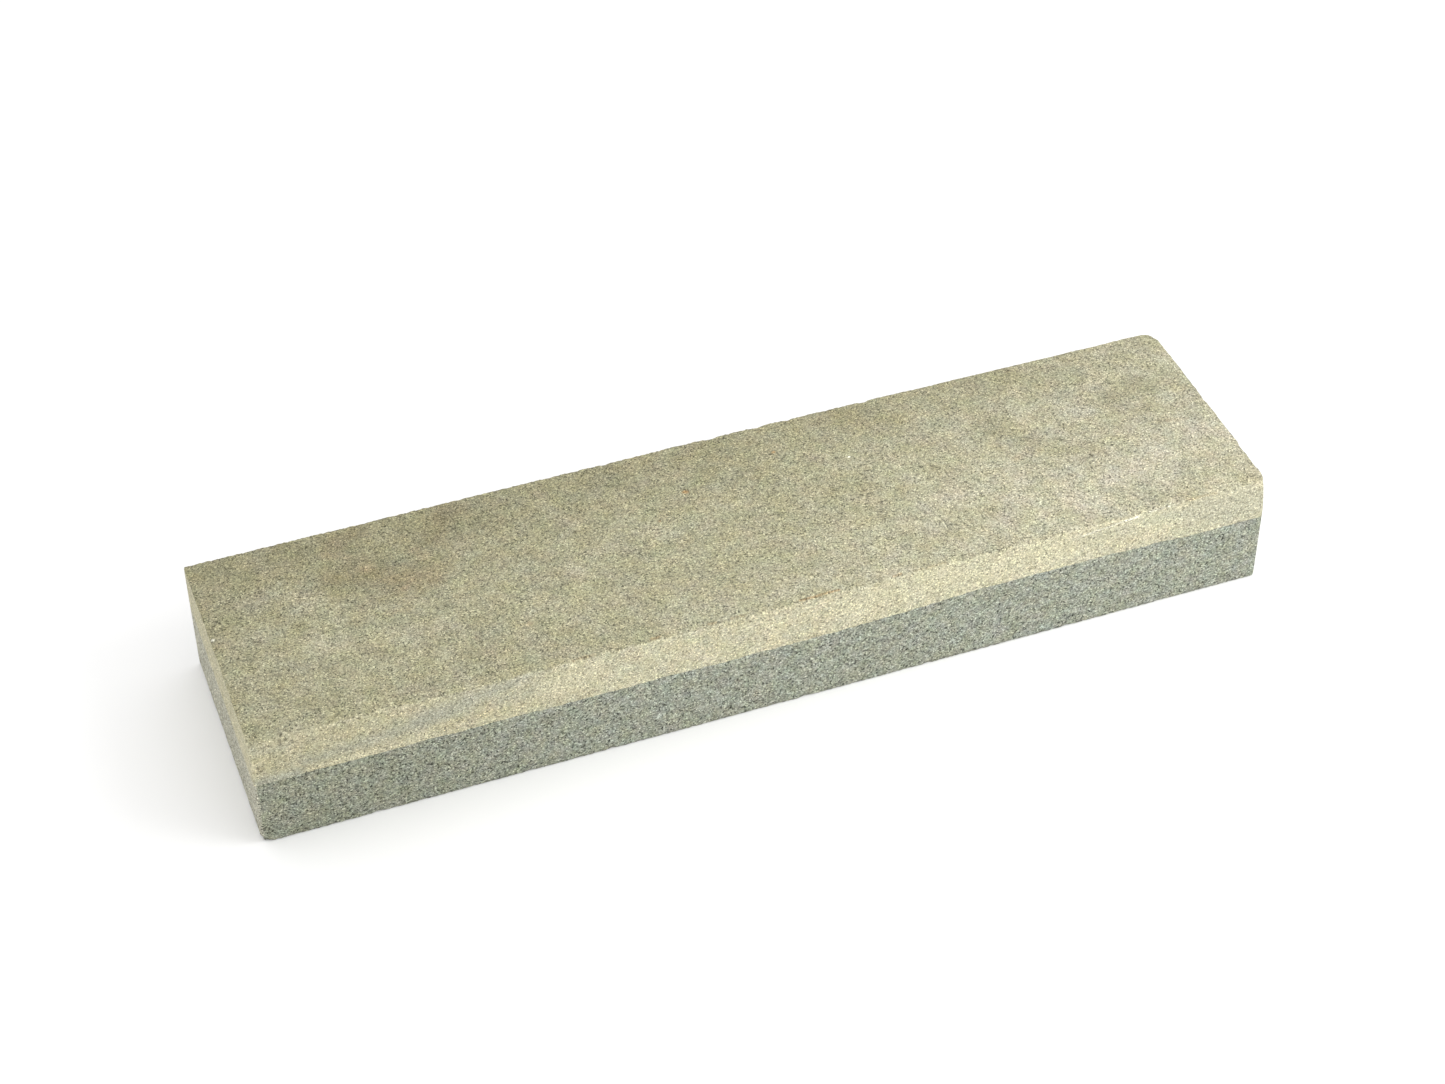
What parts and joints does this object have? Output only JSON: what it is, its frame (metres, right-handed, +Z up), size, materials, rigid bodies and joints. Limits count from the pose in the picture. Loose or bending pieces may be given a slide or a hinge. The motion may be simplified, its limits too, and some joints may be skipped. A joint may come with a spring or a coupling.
{
  "type": "combination sharpening whetstone",
  "caption": "Rectangular bench whetstone with a fine-grit layer above a coarse-grit layer, slightly worn along its edges.",
  "frame": {"origin": "middle of the resting face, the flat outer face of the coarse layer", "axes": "+X along the stone towards the end with the rounder corners, +Y across it, +Z up through the coarse layer and then the fine layer"},
  "size_m": [0.2, 0.05, 0.025],
  "materials": {
    "coarse_grit": "vitrified coarse abrasive, matt grey, open grain",
    "fine_grit": "vitrified fine abrasive, matt cream, khaki on the used face"
  },
  "bodies": {
    "root": {"coarse_grit_layer": "coarse_grit", "fine_grit_layer": "fine_grit"}
  },
  "joints": []
}
